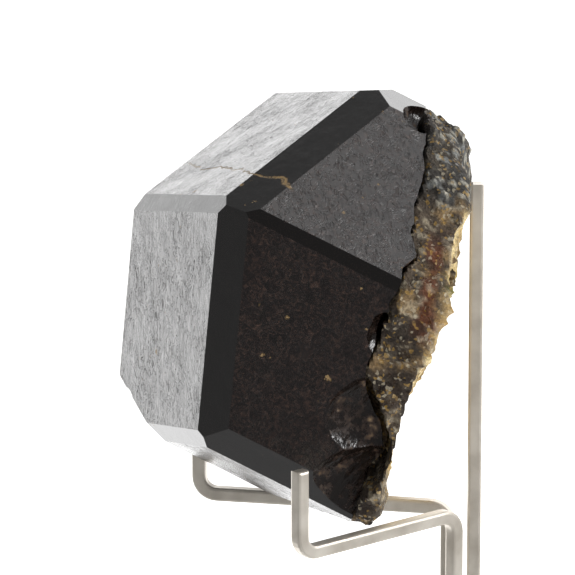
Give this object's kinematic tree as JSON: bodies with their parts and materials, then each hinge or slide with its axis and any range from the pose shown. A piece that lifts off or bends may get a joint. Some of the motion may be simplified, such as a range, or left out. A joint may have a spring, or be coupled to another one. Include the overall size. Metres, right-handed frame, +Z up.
{
  "type": "garnet crystal in matrix on a wire stand",
  "caption": "Large dark garnet crystal with bevelled rhombic faces, broken across and backed by rough matrix rock, resting in a square-wire display stand.",
  "frame": {"origin": "middle of the bounding box's footprint, on the surface the feet stand on", "axes": "+Z up; the stand's two hooked arms point to -Y and its third foot to -X"},
  "size_m": [0.0682, 0.054, 0.0928],
  "materials": {
    "garnet": "glossy",
    "matrix": "rough stone",
    "stand": "satin"
  },
  "bodies": {
    "root": {"garnet_crystal": "garnet", "matrix_rock": "matrix", "near_arm_wire": "stand", "far_arm_wire": "stand", "upright_wire": "stand", "brazed_collar": "stand"}
  },
  "joints": []
}
